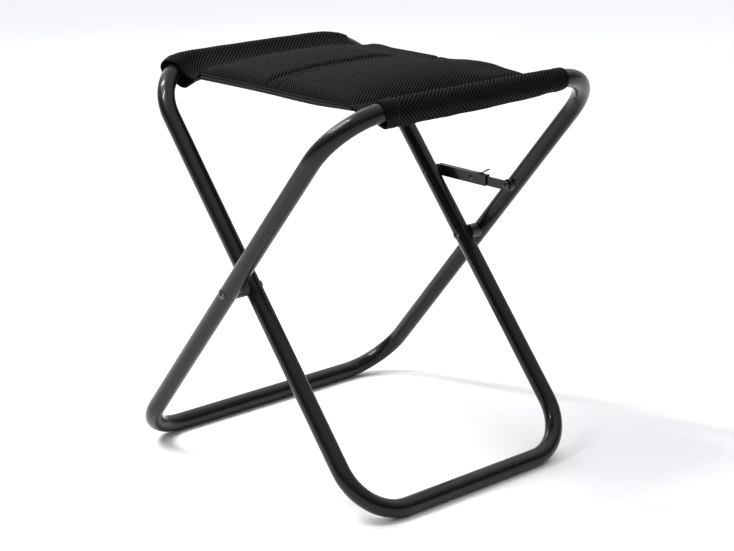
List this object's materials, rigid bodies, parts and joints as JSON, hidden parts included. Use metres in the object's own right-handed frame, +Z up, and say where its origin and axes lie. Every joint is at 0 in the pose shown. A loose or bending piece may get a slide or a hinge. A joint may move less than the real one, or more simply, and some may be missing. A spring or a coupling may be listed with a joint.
{
  "type": "folding camp stool",
  "caption": "Folding camp stool: two crossed loops of bent tube, a locking side brace and a padded sling seat.",
  "frame": {"origin": "on the floor, under the middle of the seat", "axes": "+X from the inner loop's rail to the outer loop's rail, +Y towards the side with the brace, +Z up"},
  "size_m": [0.3863, 0.4044, 0.4575],
  "materials": {
    "black_powder_coat": "semi-gloss black powder coat",
    "bare_steel": "plain",
    "black_rivet": "satin black",
    "black_plastic": "moulded matte",
    "spacer_mesh": "knitted spacer mesh",
    "plain_cloth": "plain woven polyester",
    "foam": "open-cell foam"
  },
  "bodies": {
    "outer_frame": {"outer_frame_tube": "black_powder_coat", "outer_rail_ferrule": "bare_steel", "outer_ferrule_rivets": "bare_steel", "pivot_rivet_near": "black_rivet", "pivot_rivet_far": "black_rivet", "pivot_spacer_near": "black_plastic", "pivot_spacer_far": "black_plastic", "brace_outer_rivet": "black_rivet", "brace_outer_spacer": "black_plastic"},
    "inner_frame": {"inner_frame_tube": "black_powder_coat", "inner_rail_ferrule": "bare_steel", "inner_ferrule_rivets": "bare_steel", "brace_inner_rivet_head": "black_rivet", "sleeve_corners_left": "spacer_mesh", "sleeve_hems_left": "plain_cloth"},
    "brace_bar": {"brace_bar": "black_powder_coat"},
    "brace_channel": {"brace_channel": "black_powder_coat", "brace_mid_rivet": "black_rivet", "brace_mid_washers": "bare_steel", "brace_inner_rivet_tail": "black_rivet", "brace_inner_spacer": "black_plastic"},
    "seat_right": {"rail_sleeve_right": "spacer_mesh", "sleeve_hems_right": "plain_cloth", "seat_cover_right": "spacer_mesh", "seat_foam_right": "foam", "seat_lining_right": "plain_cloth", "binding_front_right": "plain_cloth", "binding_rear_right": "plain_cloth", "centre_seam_tape": "plain_cloth"},
    "seat_left": {"rail_sleeve_left": "spacer_mesh", "seat_cover_left": "spacer_mesh", "seat_foam_left": "foam", "seat_lining_left": "plain_cloth", "binding_front_left": "plain_cloth", "binding_rear_left": "plain_cloth"}
  },
  "joints": [
    {"name": "frame_fold", "type": "hinge", "parent": "outer_frame", "child": "inner_frame", "pos_m": [0, 0, 0.22526], "axis": [0, 1, 0], "range_deg": [0, 70]},
    {"name": "brace_bar_fold", "type": "hinge", "parent": "outer_frame", "child": "brace_bar", "pos_m": [0.05528, 0.1738, 0.29114], "axis": [0, 1, 0], "range_deg": [0, 117.3]},
    {"name": "brace_channel_fold", "type": "hinge", "parent": "brace_bar", "child": "brace_channel", "pos_m": [0, 0.1738, 0.29114], "axis": [0, 1, 0], "range_deg": [-164.5, 0]},
    {"name": "seat_right_fold", "type": "hinge", "parent": "outer_frame", "child": "seat_right", "pos_m": [0.18062, 0, 0.44052], "axis": [0, -1, 0], "range_deg": [0, 47.3], "deforming": ["seat_cover_right", "seat_foam_right", "seat_lining_right", "binding_front_right", "binding_rear_right", "centre_seam_tape"]},
    {"name": "seat_left_fold", "type": "hinge", "parent": "inner_frame", "child": "seat_left", "pos_m": [-0.18062, 0, 0.44052], "axis": [0, 1, 0], "range_deg": [0, 47.3], "deforming": ["seat_cover_left", "seat_foam_left", "seat_lining_left", "binding_front_left", "binding_rear_left"]}
  ],
  "couplings": [
    {"joint": "brace_bar_fold", "follows": "frame_fold", "ratio": 1.6744},
    {"joint": "brace_channel_fold", "follows": "frame_fold", "ratio": -2.3488},
    {"joint": "seat_right_fold", "follows": "frame_fold", "ratio": 0.67439},
    {"joint": "seat_left_fold", "follows": "frame_fold", "ratio": 0.67439}
  ]
}
